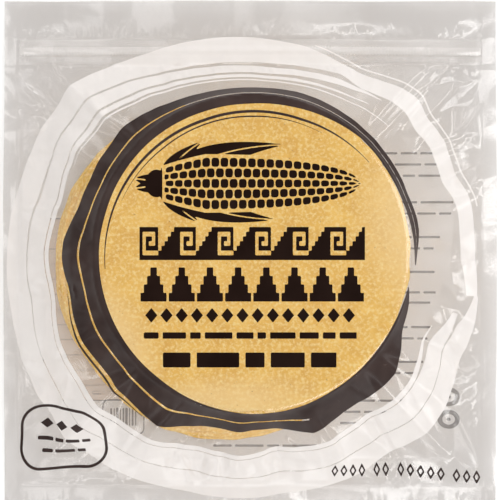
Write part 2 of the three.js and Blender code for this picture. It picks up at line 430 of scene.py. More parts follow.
def crumple(film, seed, share):
    """Folds from handling: spokes round the stack, facets in the margins and soft dents."""
    rng = np.random.default_rng(seed)
    field = np.zeros_like(film.x)
    # long folds that run out from the stack
    for turn in np.linspace(0, 2 * math.pi, 26, endpoint=False):
        angle = turn + rng.uniform(-0.08, 0.08)
        radius = rng.uniform(88, 106)
        x = TOP_CENTRE[0] + radius * math.cos(angle)
        y = TOP_CENTRE[1] + radius * math.sin(angle)
        add_kite(film, field, x, y, angle + rng.uniform(-0.3, 0.3), rng.uniform(26, 52),
                 rng.uniform(8, 16), rng.choice([-1, 1]) * rng.uniform(0.4, 1.1) * share,
                 rng.uniform(0.25, 0.75), rng.uniform(-0.6, 0.6))
    # facets of all directions in the margins
    for _ in range(150):
        x = rng.uniform(-HALF_X, HALF_X)
        y = rng.uniform(-HALF_Y, HALF_Y)
        length = rng.uniform(8, 28)
        add_kite(film, field, x, y, rng.uniform(0, math.pi), length, length * rng.uniform(0.25, 0.55),
                 rng.choice([-1, 1]) * length * rng.uniform(0.012, 0.034) * share, rng.uniform(0.2, 0.8),
                 rng.uniform(-0.7, 0.7))
    dents = smooth(rng.normal(0, 1, film.x.shape), 8.0)
    return field + dents / dents.std() * 0.22 * share


def crinkle_rows(film, seed):
    """Short upright creases along the press seal and the bottom seal."""
    rng = np.random.default_rng(seed)
    field = np.zeros_like(film.x)
    x = -HALF_X + SIDE_SEAL + 2
    while x < HALF_X - SIDE_SEAL - 2:
        size = rng.uniform(0.5, 1.6)
        add_kite(film, field, x, ZIP_TOP + 1.5 + 2.4 * size, math.pi / 2 + rng.uniform(-0.35, 0.35),
                 5.5 * size, 3.0 * size, 0.42 * size, rng.uniform(0.2, 0.4), rng.uniform(-0.6, 0.6))
        size = rng.uniform(0.5, 1.6)
        add_kite(film, field, x + rng.uniform(-3, 3), ZIP_TOP - ZIP_DEPTH - 1.0 - 2.8 * size,
                 math.pi / 2 + rng.uniform(-0.6, 0.6), 7.0 * size, 3.4 * size, 0.46 * size,
                 rng.uniform(0.6, 0.8), rng.uniform(-0.7, 0.7))
        x += rng.uniform(3.0, 6)
    x = -HALF_X + 3
    while x < HALF_X - 3:
        add_kite(film, field, x, -HALF_Y + rng.uniform(1, 4), math.pi / 2 + rng.uniform(-0.12, 0.12),
                 rng.uniform(9, 15), rng.uniform(2.5, 6), rng.choice([-1, 1]) * rng.uniform(0.12, 0.4),
                 rng.uniform(0.3, 0.7), rng.uniform(-0.6, 0.6))
        x += rng.uniform(2.5, 8)
    return field


# The open strip beyond the press seal lies in soft upright waves: places across it, the slope at each
HEADER_SLOPES = [
    (-120, 0.02), (-112, -0.06), (-92, -0.03), (-88, 0.16), (-73, 0.13), (-70, -0.03), (-60, -0.02),
    (-57, 0.1), (-38, 0.1), (-34, -0.02), (-18, 0.0), (-14, 0.12), (-10, 0.05), (-6, -0.12),
    (2, -0.02), (8, 0.1), (17, 0.02), (22, -0.04), (52, -0.04), (58, 0.12), (100, 0.12),
    (108, -0.15), (115, -0.05), (120, 0.1)]


def header_waves(film):
    places, slopes = zip(*HEADER_SLOPES)
    slope = np.interp(film.xs, places, slopes)
    wave = np.cumsum(slope) * (film.xs[1] - film.xs[0])
    wave -= np.interp(film.xs, [-HALF_X, HALF_X], [wave[0], wave[-1]])
    return ease(film.y, ZIP_TOP + 0.5, ZIP_TOP + 10) * wave[None, :]


def clear_of_stack(film, stack, front, back, gap):
    """Both films moved off the tortillas where they would touch them."""
    for one in stack:
        over = np.hypot(film.x - one.x, film.y - one.y) < one.radius + 0.5 + gap
        front = np.where(over, np.maximum(front, one.floor + one.height + gap), front)
        back = np.where(over, np.minimum(back, one.floor - 0.5 * gap), back)
    return front, back


def shape_film(stack):
    """The film with all its folds."""
    film = Film()
    front = level_zip(film)
    back = film.back
    base = stack[0]
    off_stack = ease(np.hypot(film.x - TOP_CENTRE[0], film.y - TOP_CENTRE[1]), TORTILLA_RADIUS + 1, 92)
    off_base = ease(np.hypot(film.x - base.x, film.y - base.y), TORTILLA_RADIUS + 4, 96)
    seal_gap = np.minimum(HALF_X - np.abs(film.x) - SIDE_SEAL, film.y + HALF_Y - BOTTOM_SEAL)
    in_seal = 1 - ease(seal_gap, -0.8, 3.4)
    zip_band = (ease(film.y, ZIP_TOP - ZIP_DEPTH - 1.5, ZIP_TOP - ZIP_DEPTH)
                * (1 - ease(film.y, ZIP_TOP, ZIP_TOP + 1.5)))
    header = ease(film.y, ZIP_TOP, ZIP_TOP + 3)

    folds = crumple(film, 11, 1.9)
    for fold in MAIN_FOLDS:
        add_fold(film, folds, *fold)
    folds *= off_stack * (1 - 0.65 * in_seal) * (1 - 0.9 * zip_band) * (1 - 0.8 * header)
    front_folds = smooth(folds, 0.5) + crinkle_rows(film, 5) * off_stack
    back_folds = smooth(crumple(film, 23, 1.3) * off_base, 1.2) * (1 - zip_band) * (1 - 0.8 * header)

    front, back = clear_of_stack(film, stack, front, back, STACK_GAP)
    front = smooth(front, 1.3) + front_folds + zip_relief(film)
    back = np.maximum(smooth(back, 1.6) + back_folds, 0.25)
    front = np.maximum(front, back + 2 * FILM_GAP)
    front, back = clear_of_stack(film, stack, front, back, LEAST_STACK_GAP)
    middle = (front + back) / 2
    waves = header_waves(film)
    waves -= min(0.0, float(((middle + waves) * (header > 0.5)).min()))
    film.front = front * (1 - in_seal) + (middle + FILM_GAP / 2) * in_seal + waves * header
    film.back = back * (1 - in_seal) + (middle - FILM_GAP / 2) * in_seal + waves * header
    lift = np.maximum(0, FILM_GAP - film.back)
    film.front += lift
    film.back += lift
    return film


def film_sheet(film, field, name, material):
    vertices = np.column_stack([film.x.ravel(), film.y.ravel(), field.ravel()])
    keep(make_object(name, vertices, grid_faces(*field.shape), material))


# From flat film to the bent film

SPREAD_STEP = 0.5  # between the radii of the table from flat to bent film


class Spread:
    """Where a point of the flat print comes to lie, once the film is bent over the stack."""

    def __init__(self, film):
        self.angles = np.linspace(0, 2 * math.pi, 361)
        radii = np.arange(0, 176, SPREAD_STEP)
        base = smooth(film.front, 2.5)
        self.flat = np.arange(0, 210, SPREAD_STEP)
        self.table = np.zeros((len(self.angles), len(self.flat)))
        for k, angle in enumerate(self.angles):
            x = TOP_CENTRE[0] + radii * math.cos(angle)
            y = TOP_CENTRE[1] + radii * math.sin(angle)
            z = film.sample(base, x, y)
            length = np.concatenate([[0], np.cumsum(np.hypot(np.diff(radii), np.diff(z)))])
            self.table[k] = np.interp(self.flat, length, radii)

    def place(self, u, v):
        """Print coordinates, from the bag's middle, to coordinates seen from above."""
        du = np.asarray(u, float) - TOP_CENTRE[0]
        dv = np.asarray(v, float) - TOP_CENTRE[1]
        flat = np.hypot(du, dv)
        turn = np.mod(np.arctan2(dv, du), 2 * math.pi) / (2 * math.pi) * (len(self.angles) - 1)
        k = np.minimum(turn.astype(int), len(self.angles) - 2)
        part = turn - k
        s = grid_place(flat, self.flat)
        i = s.astype(int)
        f = s - i
        here = self.table[k, i] * (1 - f) + self.table[k, i + 1] * f
        there = self.table[k + 1, i] * (1 - f) + self.table[k + 1, i + 1] * f
        radius = here * (1 - part) + there * part
        scale = np.where(flat > 1e-6, radius / np.maximum(flat, 1e-6), 1.0)
        return TOP_CENTRE[0] + du * scale, TOP_CENTRE[1] + dv * scale


# Print

BAND_STEP = 0.9
FIELD_STEP = 0.5


def stroke(centre, stations, start=0.0, end=1.0):
    """Points and faces of a band round a centre.

    Each station is an angle in degrees with the inner and outer radius there. Start and end narrow
    the band to a share of its width.
    """
    angles, low_edge, high_edge = [np.array(values, float) for values in zip(*stations)]
    inner = low_edge + (high_edge - low_edge) * start
    outer = low_edge + (high_edge - low_edge) * end
    turns = int(round(math.radians(angles[-1] - angles[0]) * outer.max() / BAND_STEP))
    rows = int(round((outer - inner).max() / BAND_STEP)) + 1
    angle = np.linspace(angles[0], angles[-1], turns)
    low = np.interp(angle, angles, inner)
    high = np.interp(angle, angles, outer)
    turn = np.radians(angle)
    points = []
    for part in np.linspace(0, 1, rows):
        radius = low + (high - low) * part
        x = centre[0] + radius * np.cos(turn)
        y = centre[1] + radius * np.sin(turn)
        points.append(np.column_stack([x, y]))
    faces = [[a, d, c, b] for a, b, c, d in grid_faces(rows, turns)]
    return np.concatenate(points), faces


def lay_print(film, spread, name, shapes, material, gap=DARK_INK_GAP, on_back=False):
    """One piece of print from flat shapes, laid on the film."""
    faces = []
    start = 0
    for points, shape_faces in shapes:
        faces.extend([[start + i for i in face] for face in shape_faces])
        start += len(points)
    x, y = np.concatenate([points for points, _ in shapes]).T
    if on_back:
        z = film.sample(film.back, x, y) + INK_GAP / 3
    else:
        x, y = spread.place(x, y)
        z = film.sample(film.front, x, y) + gap
    print_piece = make_object(name, np.column_stack([x, y, z]), faces, material)
    keep(print_piece)
    print_piece.visible_shadow = False
    print_piece.visible_diffuse = False


def field_shape(inside, x0, x1, y0, y1):
    """Points and faces of the region where inside(x, y) is above zero, cut where it crosses zero."""
    xs = np.arange(x0, x1 + FIELD_STEP, FIELD_STEP)
    ys = np.arange(y0, y1 + FIELD_STEP, FIELD_STEP)
    value = inside(*np.meshgrid(xs, ys))
    points = []
    known = {}

    def corner(j, i):
        if (j, i) not in known:
            known[j, i] = len(points)
            points.append((xs[i], ys[j]))
        return known[j, i]

    def crossing(j0, i0, j1, i1):
        key = min((j0, i0), (j1, i1)), max((j0, i0), (j1, i1))
        if key not in known:
            (ja, ia), (jb, ib) = key
            part = value[ja, ia] / (value[ja, ia] - value[jb, ib])
            known[key] = len(points)
            points.append((xs[ia] + (xs[ib] - xs[ia]) * part, ys[ja] + (ys[jb] - ys[ja]) * part))
        return known[key]

    faces = []
    full = value > 0
    some = full[:-1, :-1] | full[:-1, 1:] | full[1:, 1:] | full[1:, :-1]
    for j, i in zip(*np.nonzero(some)):
        around = [(j, i), (j, i + 1), (j + 1, i + 1), (j + 1, i)]
        face = []
        for k, here in enumerate(around):
            there = around[(k + 1) % 4]
            if full[here]:
                face.append(corner(*here))
            if full[here] != full[there]:
                face.append(crossing(*here, *there))
        if len(set(face)) > 2:
            faces.append(face)
    return np.array(points), faces


EAR_BASE = (-40.0, 33.0)
EAR_LENGTH = 92.0
EAR_WIDTH = 25.0
KERNEL_ROWS = 5
KERNEL_LENGTH = 4.3
KERNEL_GAP = 0.3  # left clear at each side of a kernel
HUSK_GAP = 1.3


def leaf_field(x, y, base_x, base_y, turn, length, width, bend):
    """A pointed leaf that may bend to one side, with a vein left out along its middle."""
    along, across = turned(x, y, base_x, base_y, turn)
    t = np.clip(along / length, 0, 1)
    middle = across - bend * length * t * t
    half = width / 2 * np.sin(math.pi * t ** 0.75)
    body = half - np.abs(middle)
    vein = 0.35 - np.abs(middle)
    body = np.where((along < 0) | (along > length), -1.0, body)
    return np.minimum(body, np.where(t > 0.12, -vein, 1.0))


def ear_outline(x, y, base_x, base_y, length, width):
    """How far inside the ear a point lies, where it lies along and across it, and the half width."""
    along = x - base_x
    across = y - base_y
    t = np.clip(along / length, 0, 1)
    half = width / 2 * np.minimum(1, 3.0 * (t + 0.12)) ** 0.5 * np.sqrt(np.clip(1 - t ** 3.4, 0, 1))
    return np.where((along < 0) | (along > length), -1.0, half - np.abs(across)), along, across, half


def ear_field(x, y):
    """An ear of maize: rows of rounded kernels inside its outline."""
    body, along, across, half = ear_outline(x, y, *EAR_BASE, EAR_LENGTH, EAR_WIDTH)
    row = (across / np.maximum(half, 0.5) + 1) / 2 * KERNEL_ROWS
    shift = 0.5 * (np.floor(row) % 2)
    cell = along / KERNEL_LENGTH + shift
    dx = np.abs(cell - np.floor(cell) - 0.5) * KERNEL_LENGTH
    dy = np.abs(row - np.floor(row) - 0.5) * 2 * half / KERNEL_ROWS
    reach_x = KERNEL_LENGTH / 2 - KERNEL_GAP
    reach_y = half / KERNEL_ROWS - KERNEL_GAP
    grain = 1 - ((dx / reach_x) ** 3.2 + (dy / np.maximum(reach_y, 0.05)) ** 3.2)
    return np.minimum(body, grain)


def box_field(x, y, middle_x, middle_y, half_x, half_y):
    return np.minimum(half_x - np.abs(x - middle_x), half_y - np.abs(y - middle_y))


HUSKS = [  # angle from the ear in degrees, length, width, bend
    (37, 58, 12, -0.36), (62, 27, 8, -0.3), (-37, 54, 12, 0.36), (-62, 25, 8, 0.3), (164, 13, 6, 0.1),
    (196, 13, 6, -0.1)]


def emblem(x, y):
    """An ear of maize that lies on its side, with its husk leaves folded back round it."""
    ear = ear_field(x, y)
    room = ear_outline(x, y, EAR_BASE[0] - HUSK_GAP, EAR_BASE[1],
                       EAR_LENGTH + 2 * HUSK_GAP, EAR_WIDTH + 2 * HUSK_GAP)[0]
    leaves = np.full_like(x, -1.0)
    for angle, length, width, bend in HUSKS:
        leaf = leaf_field(x, y, EAR_BASE[0] - 2, EAR_BASE[1], math.radians(angle), length, width, bend)
        leaves = np.maximum(leaves, leaf)
    knot = 5.2 - np.hypot(x - EAR_BASE[0] + 4, (y - EAR_BASE[1]) * 0.8)
    return np.maximum(ear, np.minimum(np.maximum(leaves, knot), -room))


ROW_OVERLAP = 0.02  # between the rows that a stepped motif is made of
FRET = [  # a squared spiral and stairs, as on woven cloth
    "######.....#",
    "#....#....##",
    "#.##.#...###",
    "#.#..#..####",
    "#.####.#####",
    "#.....######",
    "############",
]


def fret_field(x, y, x0, x1, y0, height, units):
    """A band of stepped frets."""
    rows = len(FRET)
    columns = len(FRET[0])
    cell_x = (x1 - x0) / units / columns
    cell_y = height / rows
    shape = np.full_like(x, -1.0)
    for unit in range(units):
        for row, line in enumerate(FRET):
            start = None
            for column, mark in enumerate(line + "."):
                if mark == "#" and start is None:
                    start = column
                if mark != "#" and start is not None:
                    left = x0 + (unit * columns + start) * cell_x
                    right = x0 + (unit * columns + column) * cell_x
                    middle_y = y0 + height - (row + 0.5) * cell_y
                    run = box_field(x, y, (left + right) / 2, middle_y,
                                    (right - left) / 2, cell_y / 2 + ROW_OVERLAP)
                    shape = np.maximum(shape, run)
                    start = None
    return shape


def diamonds_field(x, y, x0, x1, middle_y, height, count):
    width = (x1 - x0) / count
    place = np.abs(np.mod(x - x0, width) - width / 2)
    shape = height / 2 - place * height / width * 1.25 - np.abs(y - middle_y)
    return np.where((x > x0) & (x < x1), shape, -1.0)


def bars_field(x, y, x0, middle_y, height, lengths, gap):
    """Plain bars in a row, where small words would be."""
    shape = np.full_like(x, -1.0)
    start = x0
    for length in lengths:
        shape = np.maximum(shape, box_field(x, y, start + length / 2, middle_y, length / 2, height / 2))
        start += length + gap
    return shape


PYRAMID_STEPS = 4


def pyramids_field(x, y, x0, x1, y0, height, count):
    """A row of stepped pyramids."""
    width = (x1 - x0) / count
    place = np.abs(np.mod(x - x0, width) - width / 2)
    shape = np.full_like(x, -1.0)
    step_height = height / PYRAMID_STEPS
    for step in range(PYRAMID_STEPS):
        half = (width / 2 - 0.5) * (1 - step / PYRAMID_STEPS)
        middle_y = y0 + (step + 0.5) * step_height
        level = step_height / 2 + ROW_OVERLAP - np.abs(y - middle_y)
        shape = np.maximum(shape, np.minimum(half - place, level))
    return np.where((x > x0) & (x < x1), shape, -1.0)


def middle_print(x, y):
    """The motifs over the top tortilla, from the ear of maize down to the wide bars."""
    thin_bars = [7, 11, 5, 13, 8, 4, 12, 9, 6, 8]
    wide_bars = [13, 20, 9, 16, 12]
    rows = [
        fret_field(x, y, x0=-52, x1=54, y0=-3.0, height=15.5, units=6),
        pyramids_field(x, y, x0=-52, x1=54, y0=-22.5, height=16.0, count=8),
        diamonds_field(x, y, x0=-50, x1=50, middle_y=-29, height=7, count=14),
        bars_field(x, y, x0=-50, middle_y=-38.5, height=3.0, lengths=thin_bars, gap=1.9),
        bars_field(x, y, x0=-41, middle_y=-50, height=7.0, lengths=wide_bars, gap=2.9),
    ]
    return np.maximum.reduce([emblem(x, y)] + rows)


def rounded_box(x, y, middle_x, middle_y, half_x, half_y, corner):
    """How far inside a box with round corners a point lies."""
    dx = np.abs(x - middle_x) - half_x + corner
    dy = np.abs(y - middle_y) - half_y + corner
    outside = np.hypot(np.maximum(dx, 0), np.maximum(dy, 0)) + np.minimum(np.maximum(dx, dy), 0)
    return corner - outside


TAG_MIDDLE = (-98.0, -96.5)
TAG_HALF = (22.5, 16.0)
TAG_CORNER = 11.0
TAG_LINE = 1.5
TAG_BAR = 1.9


def tag_print(x, y):
    """A round-cornered label in the lower left corner: an outline with a diamond and bars in it."""
    outline = TAG_LINE / 2 - np.abs(rounded_box(x, y, *TAG_MIDDLE, *TAG_HALF, TAG_CORNER))
    left = TAG_MIDDLE[0] - 14
    diamonds = diamonds_field(x, y, left, left + 28, TAG_MIDDLE[1] + 7, height=5, count=3)
    upper = bars_field(x, y, left, TAG_MIDDLE[1] - 0.5, TAG_BAR, [9, 5, 7, 4], gap=1.3)
    lower = bars_field(x, y, left + 3, TAG_MIDDLE[1] - 6.5, TAG_BAR, [6, 10, 4], gap=1.3)
    return np.maximum.reduce([outline, diamonds, upper, lower])


CORNER_GROUPS = [(43, 4), (66, 2), (79, 5), (106, 3)]  # left end and number of diamonds
CORNER_MIDDLE_Y = -116.8
CORNER_PITCH = 4.9
CORNER_HEIGHT = 7.8


def corner_print(x, y):
    """Outlined diamonds in groups, in the lower right corner."""
    shape = np.full_like(x, -1.0)
    for left, count in CORNER_GROUPS:
        right = left + CORNER_PITCH * count
        filled = diamonds_field(x, y, left, right, CORNER_MIDDLE_Y, CORNER_HEIGHT, count)
        outline = 0.95 - np.abs(filled - 1.0)
        shape = np.maximum(shape, np.where((x > left) & (x < right), outline, -1.0))
    return shape


# The back film's print, which shows through the bag beside the stack

PANEL_LEFT = -101.0
PANEL_RIGHT = -50.0
PANEL_TOP = 17.0
PANEL_ROW = 7.4
PANEL_ROWS = 12
PANEL_MIDDLE_X = (PANEL_LEFT + PANEL_RIGHT) / 2
PANEL_HALF_X = (PANEL_RIGHT - PANEL_LEFT) / 2
RULE_HALF = 0.28  # half the thickness of the panel's rules


def panel_fill(x, y):
    half_y = PANEL_ROWS * PANEL_ROW / 2
    return box_field(x, y, PANEL_MIDDLE_X, PANEL_TOP - half_y, PANEL_HALF_X, half_y)


def panel_lines(x, y):
    """Rules and short bars of a plain table."""
    shape = RULE_HALF - np.abs(panel_fill(x, y))
    for row in range(PANEL_ROWS):
        row_y = PANEL_TOP - row * PANEL_ROW
        shape = np.maximum(shape, box_field(x, y, PANEL_MIDDLE_X, row_y, PANEL_HALF_X, RULE_HALF))
        start = PANEL_LEFT + 9 + 1.35 * row
        lengths = [4 + row % 3, 3]
        bars = bars_field(x, y, start, row_y - PANEL_ROW / 2, 1.7, lengths, gap=1.4)
        shape = np.maximum(shape, bars)
    return shape


STRIPES_START = (-68.0, -80.0)  # the middle of the first stripe
STRIPES_HEIGHT = 9.0
STRIPES_PITCH = 1.5
STRIPE_WIDTHS = [0.9, 0.5, 1.1, 0.5, 0.8, 1.1, 0.5, 0.9, 0.6]


def striped_mark(x, y):
    """Upright stripes in a round-cornered frame."""
    left, middle_y = STRIPES_START
    frame_line = rounded_box(x, y, left + 6, middle_y, 10, STRIPES_HEIGHT / 2 + 4, 3.0)
    shape = 0.3 - np.abs(frame_line)
    for k, width in enumerate(STRIPE_WIDTHS):
        stripe = box_field(x, y, left + STRIPES_PITCH * k, middle_y, width / 2, STRIPES_HEIGHT / 2)
        shape = np.maximum(shape, stripe)
    return shape


SIDE_BAR = 1.1
SIDE_GAP = 1.6
ROUND_MARKS = [(97, -70), (97, -81)]
SIDE_ROWS = [  # height on the bag, left end, and the lengths of the bars of each row beside the stack
    (49, 60, [12, 8, 9]), (43.5, 62, [7, 13, 6]), (38, 63, [10, 6, 14]),
    (25, 66, [9, 5, 16]), (19.5, 67, [13, 9, 6]),
    (8, 73, [6, 12]), (2.5, 73, [10, 5]),
    (-9, 76, [14]), (-19, 75, [8, 6]), (-24, 76, [12]),
    (-36, 70, [7, 10]), (-41.5, 69, [11, 5]),
    (-53, 62, [9, 12]), (-58.5, 58, [6, 8, 7]),
    (-72, 48, [13, 9, 12]), (-77.5, 46, [8, 14, 6]), (-83, 44, [11, 6, 9]),
    (-94, -18, [9, 14, 6, 17]),
]


def side_rows(x, y):
    """Rows of plain bars beside the stack, and two rings with a dot in them."""
    shape = np.full_like(x, -1.0)
    for row_y, start, lengths in SIDE_ROWS:
        shape = np.maximum(shape, bars_field(x, y, start, row_y, SIDE_BAR, lengths, SIDE_GAP))
    for middle_x, middle_y in ROUND_MARKS:
        reach = np.hypot((x - middle_x) * 0.85, y - middle_y)
        ring = 1.0 - np.abs(reach - 3.6)
        dot = 0.9 - reach
        shape = np.maximum(shape, np.maximum(ring, dot))
    return shape


# The stack of tortillas

RIM = [  # a tortilla's profile from the middle of its top to the middle of its underside: radius, level
    (0.0, 1.0), (0.35, 1.0), (0.7, 1.0), (0.9, 1.0), (0.965, 0.97), (0.99, 0.82), (1.0, 0.5),
    (0.99, 0.16), (0.965, 0.03), (0.9, 0.0), (0.5, 0.0), (0.0, 0.0)]
TORTILLA_TURNS = 160


def tortilla(name, place, seed, material):
    """One thin round, a little wavy at its edge, with its rim rounded."""
    rng = np.random.default_rng(seed)
    turns = TORTILLA_TURNS
    angle = np.linspace(0, 2 * math.pi, turns, endpoint=False)
    edge = np.zeros(turns)
    for wave in range(2, 9):
        edge += rng.normal(0, 0.35 / wave ** 0.5) * np.cos(wave * angle + rng.uniform(0, 2 * math.pi))
    for wave in range(12, 40, 3):
        edge += rng.normal(0, 0.09) * np.cos(wave * angle + rng.uniform(0, 2 * math.pi))
    lift_phase = rng.uniform(0, 2 * math.pi)
    vertices = []
    rings = []
    for part, level in RIM:
        height = place.floor + place.height * level
        if part == 0.0:
            rings.append([len(vertices)])
            vertices.append((place.x, place.y, height))
            continue
        reach = place.radius * part + edge * part ** 6
        sway = 0.12 * part ** 2 * np.cos(3 * angle + lift_phase)
        ring = []
        for k in range(turns):
            ring.append(len(vertices))
            x = place.x + reach[k] * math.cos(angle[k])
            y = place.y + reach[k] * math.sin(angle[k])
            vertices.append((x, y, height + sway[k]))
        rings.append(ring)
    faces = []
    for upper, lower in zip(rings, rings[1:]):
        for k in range(turns):
            n = (k + 1) % turns
            if len(upper) == 1:
                faces.append([upper[0], lower[k], lower[n]])
            elif len(lower) == 1:
                faces.append([upper[k], lower[0], upper[n]])
            else:
                faces.append([upper[k], lower[k], lower[n], upper[n]])
    keep(make_object(name, vertices, faces, material))


Place = collections.namedtuple("Place", "x y floor height radius")
FIRST_TORTILLA_SEED = 100
PAINTED_SHEEN_SPOTS = [  # painted sheen on the top tortilla, pale patches that stand in for the film's reflection: middle, reach, turn
    ((80, 14), (34, 50), 0.15),
    ((-66, -42), (22, 42), 0.5),
    ((-20, -72), (60, 16), 0.1),
]


def plan_stack():
    """Where each tortilla lies, from the lowest up: the stack leans as LEAN says."""
    rng = np.random.default_rng(31)
    pitch = (STACK_TOP - TOP_GAP - FLOOR_GAP) / TORTILLAS
    shares, middles_x, middles_y = zip(*LEAN)
    stack = []
    for k in range(TORTILLAS):
        share = k / (TORTILLAS - 1)
        loose = float(ease(np.array(TORTILLAS - 1.0 - k), 0, 8))
        x = np.interp(share, shares, middles_x) + rng.normal(0, 0.5) * loose
        y = np.interp(share, shares, middles_y) + rng.normal(0, 0.5) * loose
        radius = TORTILLA_RADIUS - 0.4 + rng.uniform(0.3, 1.6) * loose
        stack.append(Place(float(x), float(y), FLOOR_GAP + k * pitch, pitch - 0.06, radius))
    return stack


def make_stack(stack):
    plain = tortilla_material("corn_tortilla")
    # The top tortilla's material carries the painted sheen of the film's reflection.
    top = tortilla_material("corn_tortilla_top_painted_sheen", PAINTED_SHEEN_SPOTS)
    for k, place in enumerate(stack):
        look = top if k == len(stack) - 1 else plain
        tortilla(f"tortilla_{k + 1:02d}", place, FIRST_TORTILLA_SEED + k, look)


# The press seal

TRACK_STATIONS = 584  # four to a tooth


def make_track(film, name, profile, sunk, tooth, material):
    """A strip along the press seal, with teeth along its edges.

    Its profile holds pairs of distance down from the seal's top and height, and sunk is how far it
    lies under the front film.
    """
    vertices = []
    for s, x in enumerate(np.linspace(-ZIP_REACH, ZIP_REACH, TRACK_STATIONS)):
        reach = tooth if s % 4 < 2 else 0.0
        for k, (down, up) in enumerate(profile):
            edge = (k == 0) - (k == len(profile) - 1)
            y = ZIP_TOP - down + reach * edge
            z = float(film.sample(film.front, x, y))
            vertices.append((x, y, z - sunk + up))
    faces = grid_faces(TRACK_STATIONS, len(profile))
    keep(make_object(name, vertices, faces, material))


def make_zip(film):
    """A flange, a toothed rib and a lower track, just under the front film."""
    flange = [(0.2, 0.0), (3.9, 0.0)]
    rib = [(4.1, 0.0), (4.6, 0.1), (6.6, 0.1), (7.1, 0.0)]
    low_track = [(8.6, 0.0), (11.4, 0.0)]
    make_track(film, "zip_flange", flange, 0.3, 0.0, milky_material("milky_flange", 0.16, 0.2))
    make_track(film, "zip_rib", rib, 0.35, 0.8, milky_material("milky_rib", 0.5, 0.58))
    make_track(film, "zip_low_track", low_track, 0.3, 0.0, milky_material("milky_track", 0.12, 0.2))


# The print's pieces

DARK_BAND = [  # round the stack's middle: angle in degrees, inner and outer radius
    (-4, 78.6, 79.6), (8, 76.6, 82.3), (18, 75.4, 81.5), (30, 74.6, 80.5), (47, 74.6, 80.3),
    (60, 73.0, 82), (75, 71.5, 84), (91, 70.5, 83.2), (108, 70.5, 84), (134, 71.3, 88), (155, 71.5, 87),
    (165, 71.5, 90), (176, 72, 94), (193, 72.3, 94.6), (205, 72.6, 93.5), (222, 73, 92.5),
    (233, 73.2, 95.5), (241, 73.8, 98), (247, 74.3, 95), (258, 75, 90.3), (270, 75.8, 88.7),
    (281, 76, 92), (289, 75.6, 96.5), (300, 74.8, 92.5), (320, 74.3, 91.5), (326, 74.3, 88),
    (334, 74.4, 82), (342, 74.8, 79), (348, 75.4, 75.8)]
DARK_GAP = (0.48, 0.53)  # the shares of the dark band's width that a pale line lies between
DARK_GAP_ENDS = (47, 289)  # the angles that the pale line runs between
THIN_DARK_BANDS = [
    [(193, 96.2, 96.5), (205, 95.4, 96.6), (222, 94.6, 95.8), (236, 97.6, 97.9)],
    [(38, 69.6, 69.8), (70, 66.6, 67.8), (110, 66.0, 67.4), (150, 67.6, 68.8), (186, 69.4, 69.7)],
    [(60, 65.4, 65.5), (90, 64.2, 64.9), (130, 64.6, 65.2), (158, 66.2, 66.3)],
]
WHITE_CENTRE = (-3.5, -5.7)
WHITE_BANDS = [  # bands that narrow towards their ends: angle, inner and outer radius
    [(44, 98.8, 99.1), (75, 98.0, 99.4), (115, 98.4, 99.8), (150, 99.4, 99.7)],
    [(52, 103.0, 103.4), (76, 101.6, 104.8), (110, 101.3, 104.6), (150, 101.2, 104.2),
     (200, 101.0, 104.2), (330, 101.0, 104.0), (342, 103.4, 104.0)],
    [(50, 109.6, 110.0), (64, 108.4, 113.4), (84, 107.0, 113.2), (110, 106.4, 113.6),
     (150, 105.2, 115.6), (200, 104.6, 116.8), (326, 104.6, 116.8), (340, 108.5, 117.5),
     (347, 114.0, 117.0)],
    [(-8, 121.0, 128.0), (18, 117.5, 127.0), (38, 113.0, 124.0), (56, 111.5, 122.0), (63, 117.2, 124.0)],
    [(60, 117.4, 123.5), (74, 116.8, 128.0), (90, 115.6, 129.0), (120, 115.6, 129.0),
     (160, 117.2, 129.0), (330, 117.4, 129.0), (344, 119.0, 128.6), (352, 126.0, 128.6)],
    [(14, 130.2, 131.0), (40, 126.6, 127.6), (58, 125.6, 126.6), (72, 129.4, 129.9)],
]


def dark_bands():
    """The dark band with a pale line along its middle, and thin bands beside it."""
    first = [station for station in DARK_BAND if station[0] <= DARK_GAP_ENDS[0]]
    last = [station for station in DARK_BAND if station[0] >= DARK_GAP_ENDS[1]]
    bands = [stroke(TOP_CENTRE, DARK_BAND, 0.0, DARK_GAP[0]),
             stroke(TOP_CENTRE, DARK_BAND, DARK_GAP[1], 1.0),
             stroke(TOP_CENTRE, first, *DARK_GAP),
             stroke(TOP_CENTRE, last, *DARK_GAP)]
    return bands + [stroke(TOP_CENTRE, stations) for stations in THIN_DARK_BANDS]


def make_front_print(film, spread):
    dark = dark_ink_material("dark_ink", (0.008, 0.0026, 0.0012), (0.014, 0.006, 0.004), 0.06)
    # The same dark ink in a lighter colour: painted reflection, standing in for what the ink on the
    # stack's sloping side mirrors. The tag and the corner marks use it too.
    painted_sheen_dark = dark_ink_material(
        "dark_ink_painted_sheen", (0.022, 0.011, 0.009), (0.046, 0.028, 0.024), 0.22)
    white = white_ink_material()
    white_bands = [stroke(WHITE_CENTRE, stations) for stations in WHITE_BANDS]
    motifs = field_shape(middle_print, -60, 60, -58, 62)
    tag = field_shape(tag_print, -123, -73, -115, -78)
    corner = field_shape(corner_print, 42, 128, -122, -112)
    lay_print(film, spread, "print_dark_ring", dark_bands(), painted_sheen_dark)
    lay_print(film, spread, "print_white_ring", white_bands, white, INK_GAP)
    lay_print(film, spread, "print_dark_motifs", [motifs], dark)
    lay_print(film, spread, "print_tag", [tag], painted_sheen_dark)
    lay_print(film, spread, "print_corner_bars", [corner], painted_sheen_dark)


